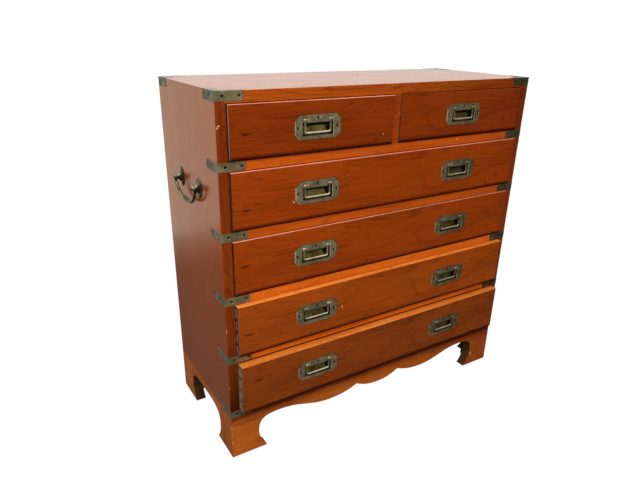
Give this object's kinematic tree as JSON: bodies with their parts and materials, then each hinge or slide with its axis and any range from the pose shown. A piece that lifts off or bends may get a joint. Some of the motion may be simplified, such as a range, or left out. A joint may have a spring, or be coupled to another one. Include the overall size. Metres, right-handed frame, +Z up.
{
  "type": "campaign chest of drawers",
  "caption": "Low chest with drawers over a shaped bracket base, brass-bound corners, flush bail pulls and lifting handles on its sides.",
  "frame": {"origin": "on the floor under the middle of the chest's whole box, with the drawers standing open as in the picture", "axes": "+X to the viewer's right along the front, -Y out of the front, +Z up"},
  "size_m": [0.9558, 0.3888, 0.9043],
  "materials": {
    "front_wood": "polished red-brown hardwood, fine straight grain",
    "rail_wood": "polished orange-brown hardwood",
    "side_wood": "glossy dark red-brown hardwood",
    "top_wood": "glossy red-brown hardwood",
    "base_wood": "worn orange-brown hardwood",
    "box_wood": "bare pale secondary wood",
    "back_wood": "unpolished brown boards",
    "aged_brass": "aged grey-green brass, dull"
  },
  "bodies": {
    "carcase": {"top_board": "top_wood", "side_left": "side_wood", "side_right": "side_wood", "back_panel": "back_wood", "drawer_frame_1": "rail_wood", "drawer_frame_2": "rail_wood", "drawer_frame_3": "rail_wood", "drawer_frame_4": "rail_wood", "bottom_frame": "rail_wood", "bracket_base": "base_wood", "corner_strap_left_1": "aged_brass", "corner_strap_left_2": "aged_brass", "corner_strap_left_3": "aged_brass", "corner_strap_left_4": "aged_brass", "corner_strap_left_5": "aged_brass", "corner_strap_left_6": "aged_brass", "corner_strap_right_1": "aged_brass", "corner_strap_right_2": "aged_brass", "corner_strap_right_3": "aged_brass", "corner_strap_right_4": "aged_brass", "corner_strap_right_5": "aged_brass", "corner_strap_right_6": "aged_brass", "handle_post_left_front": "aged_brass", "handle_post_left_rear": "aged_brass", "handle_post_right_front": "aged_brass", "handle_post_right_rear": "aged_brass"},
    "drawer_top_left": {"drawer_front_top_left": "front_wood", "drawer_box_top_left": "box_wood", "pull_plate_top_left": "aged_brass"},
    "bail_top_left": {"pull_bail_top_left": "aged_brass"},
    "drawer_top_right": {"drawer_front_top_right": "front_wood", "drawer_box_top_right": "box_wood", "pull_plate_top_right": "aged_brass"},
    "bail_top_right": {"pull_bail_top_right": "aged_brass"},
    "drawer_second": {"drawer_front_second": "front_wood", "drawer_box_second": "box_wood", "pull_plate_second_left": "aged_brass", "pull_plate_second_right": "aged_brass"},
    "bail_second_left": {"pull_bail_second_left": "aged_brass"},
    "bail_second_right": {"pull_bail_second_right": "aged_brass"},
    "drawer_third": {"drawer_front_third": "front_wood", "drawer_box_third": "box_wood", "pull_plate_third_left": "aged_brass", "pull_plate_third_right": "aged_brass"},
    "bail_third_left": {"pull_bail_third_left": "aged_brass"},
    "bail_third_right": {"pull_bail_third_right": "aged_brass"},
    "drawer_fourth": {"drawer_front_fourth": "front_wood", "drawer_box_fourth": "box_wood", "pull_plate_fourth_left": "aged_brass", "pull_plate_fourth_right": "aged_brass"},
    "bail_fourth_left": {"pull_bail_fourth_left": "aged_brass"},
    "bail_fourth_right": {"pull_bail_fourth_right": "aged_brass"},
    "drawer_bottom": {"drawer_front_bottom": "front_wood", "drawer_box_bottom": "box_wood", "pull_plate_bottom_left": "aged_brass", "pull_plate_bottom_right": "aged_brass"},
    "bail_bottom_left": {"pull_bail_bottom_left": "aged_brass"},
    "bail_bottom_right": {"pull_bail_bottom_right": "aged_brass"},
    "side_handle_left": {"side_bail_left": "aged_brass"},
    "side_handle_right": {"side_bail_right": "aged_brass"}
  },
  "joints": [
    {"name": "slide_top_left", "type": "slide", "parent": "carcase", "child": "drawer_top_left", "axis": [0, -1, 0], "range_m": [-0.005, 0.235]},
    {"name": "hinge_top_left", "type": "hinge", "parent": "drawer_top_left", "child": "bail_top_left", "pos_m": [-0.222, -0.1702, 0.83555], "axis": [-1, 0, 0], "range_deg": [0, 88]},
    {"name": "slide_top_right", "type": "slide", "parent": "carcase", "child": "drawer_top_right", "axis": [0, -1, 0], "range_m": [-0.0005, 0.2395]},
    {"name": "hinge_top_right", "type": "hinge", "parent": "drawer_top_right", "child": "bail_top_right", "pos_m": [0.222, -0.1657, 0.83555], "axis": [-1, 0, 0], "range_deg": [0, 88]},
    {"name": "slide_second", "type": "slide", "parent": "carcase", "child": "drawer_second", "axis": [0, -1, 0], "range_m": [-0.005, 0.235]},
    {"name": "hinge_second_left", "type": "hinge", "parent": "drawer_second", "child": "bail_second_left", "pos_m": [-0.22, -0.1702, 0.69055], "axis": [-1, 0, 0], "range_deg": [0, 88]},
    {"name": "hinge_second_right", "type": "hinge", "parent": "drawer_second", "child": "bail_second_right", "pos_m": [0.22, -0.1702, 0.69055], "axis": [-1, 0, 0], "range_deg": [0, 88]},
    {"name": "slide_third", "type": "slide", "parent": "carcase", "child": "drawer_third", "axis": [0, -1, 0], "range_m": [-0.003, 0.237]},
    {"name": "hinge_third_left", "type": "hinge", "parent": "drawer_third", "child": "bail_third_left", "pos_m": [-0.22, -0.1682, 0.53655], "axis": [-1, 0, 0], "range_deg": [0, 88]},
    {"name": "hinge_third_right", "type": "hinge", "parent": "drawer_third", "child": "bail_third_right", "pos_m": [0.22, -0.1682, 0.53655], "axis": [-1, 0, 0], "range_deg": [0, 88]},
    {"name": "slide_fourth", "type": "slide", "parent": "carcase", "child": "drawer_fourth", "axis": [0, -1, 0], "range_m": [-0.013, 0.227]},
    {"name": "hinge_fourth_left", "type": "hinge", "parent": "drawer_fourth", "child": "bail_fourth_left", "pos_m": [-0.22, -0.1782, 0.3813], "axis": [-1, 0, 0], "range_deg": [0, 88]},
    {"name": "hinge_fourth_right", "type": "hinge", "parent": "drawer_fourth", "child": "bail_fourth_right", "pos_m": [0.22, -0.1782, 0.3813], "axis": [-1, 0, 0], "range_deg": [0, 88]},
    {"name": "slide_bottom", "type": "slide", "parent": "carcase", "child": "drawer_bottom", "axis": [0, -1, 0], "range_m": [-0.024, 0.216]},
    {"name": "hinge_bottom_left", "type": "hinge", "parent": "drawer_bottom", "child": "bail_bottom_left", "pos_m": [-0.22, -0.1892, 0.2248], "axis": [-1, 0, 0], "range_deg": [0, 88]},
    {"name": "hinge_bottom_right", "type": "hinge", "parent": "drawer_bottom", "child": "bail_bottom_right", "pos_m": [0.22, -0.1892, 0.2248], "axis": [-1, 0, 0], "range_deg": [0, 88]},
    {"name": "handle_left", "type": "hinge", "parent": "carcase", "child": "side_handle_left", "pos_m": [-0.4715, 0.0094, 0.684], "axis": [0, 1, 0], "range_deg": [-8, 105]},
    {"name": "handle_right", "type": "hinge", "parent": "carcase", "child": "side_handle_right", "pos_m": [0.4715, 0.0094, 0.684], "axis": [0, -1, 0], "range_deg": [-8, 105]}
  ]
}
